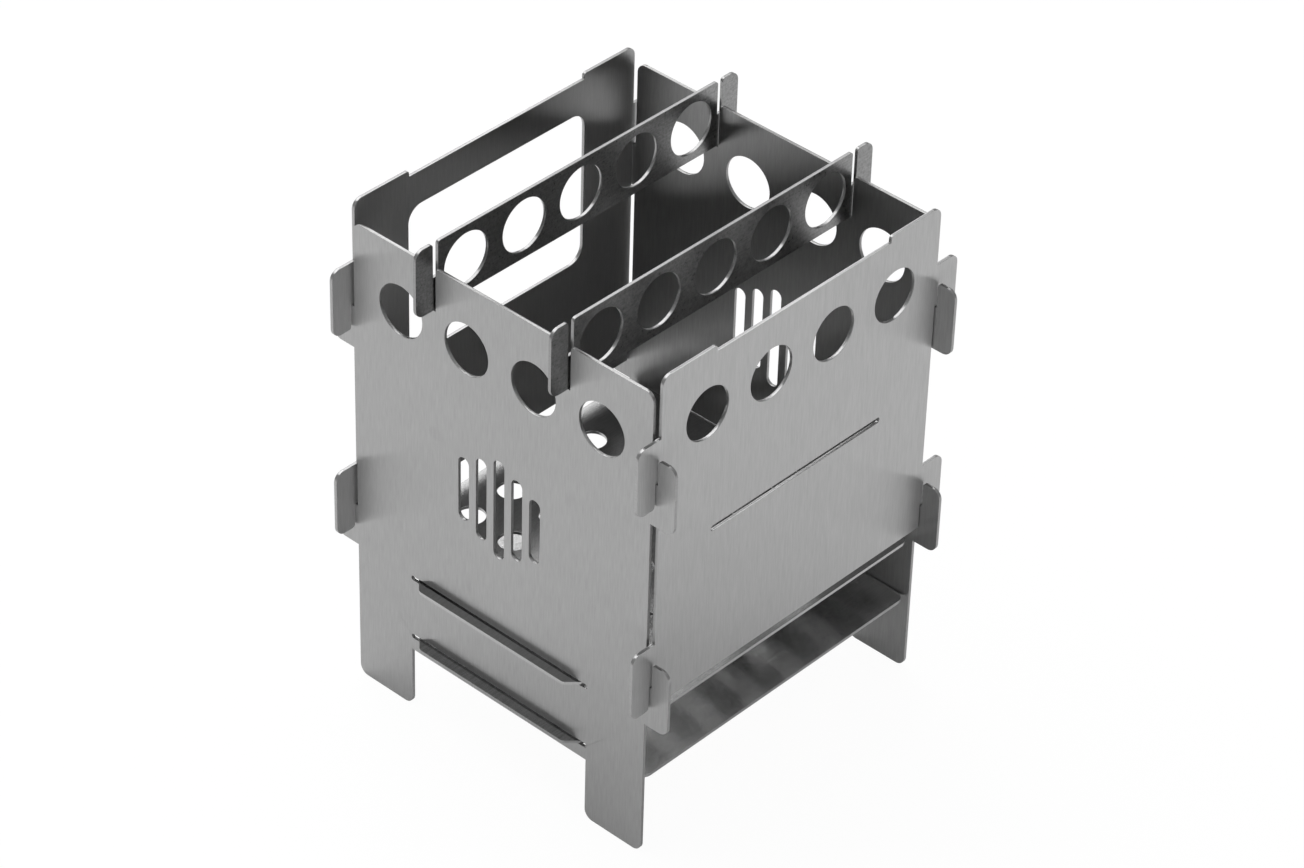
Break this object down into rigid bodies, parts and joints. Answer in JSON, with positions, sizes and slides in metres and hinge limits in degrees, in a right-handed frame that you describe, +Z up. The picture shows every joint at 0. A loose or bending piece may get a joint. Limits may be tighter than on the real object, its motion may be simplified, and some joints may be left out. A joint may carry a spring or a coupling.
{
  "type": "folding stove",
  "caption": "Plug-together box stove of flat slotted sheets, with a feed window, a fire grate, an ash pan and loose pot supports.",
  "frame": {"origin": "middle of the footprint, on the floor that the four feet stand on", "axes": "+Z up, +X to the right side wall with the narrow slot, -Y to the front leg wall"},
  "size_m": [0.1254, 0.1254, 0.1629],
  "materials": {
    "front_leg_wall": "brushed",
    "rear_leg_wall": "brushed",
    "right_side_wall": "brushed",
    "left_side_wall": "brushed",
    "fire_grate": "brushed",
    "ash_pan": "brushed",
    "left_pot_support": "brushed",
    "right_pot_support": "brushed"
  },
  "bodies": {
    "frame": {"front_leg_wall": "front_leg_wall", "rear_leg_wall": "rear_leg_wall", "fire_grate": "fire_grate", "ash_pan": "ash_pan"},
    "right_wall": {"right_side_wall": "right_side_wall"},
    "left_wall": {"left_side_wall": "left_side_wall"},
    "left_support": {"left_pot_support": "left_pot_support"},
    "right_support": {"right_pot_support": "right_pot_support"}
  },
  "joints": [
    {"name": "right_wall_lift", "type": "slide", "parent": "frame", "child": "right_wall", "axis": [0, 0, 1], "range_m": [0, 0.0395]},
    {"name": "left_wall_lift", "type": "slide", "parent": "frame", "child": "left_wall", "axis": [0, 0, 1], "range_m": [0, 0.0395]},
    {"name": "left_support_lift", "type": "slide", "parent": "frame", "child": "left_support", "axis": [0, 0, 1], "range_m": [0, 0.02]},
    {"name": "right_support_lift", "type": "slide", "parent": "frame", "child": "right_support", "axis": [0, 0, 1], "range_m": [0, 0.02]}
  ]
}
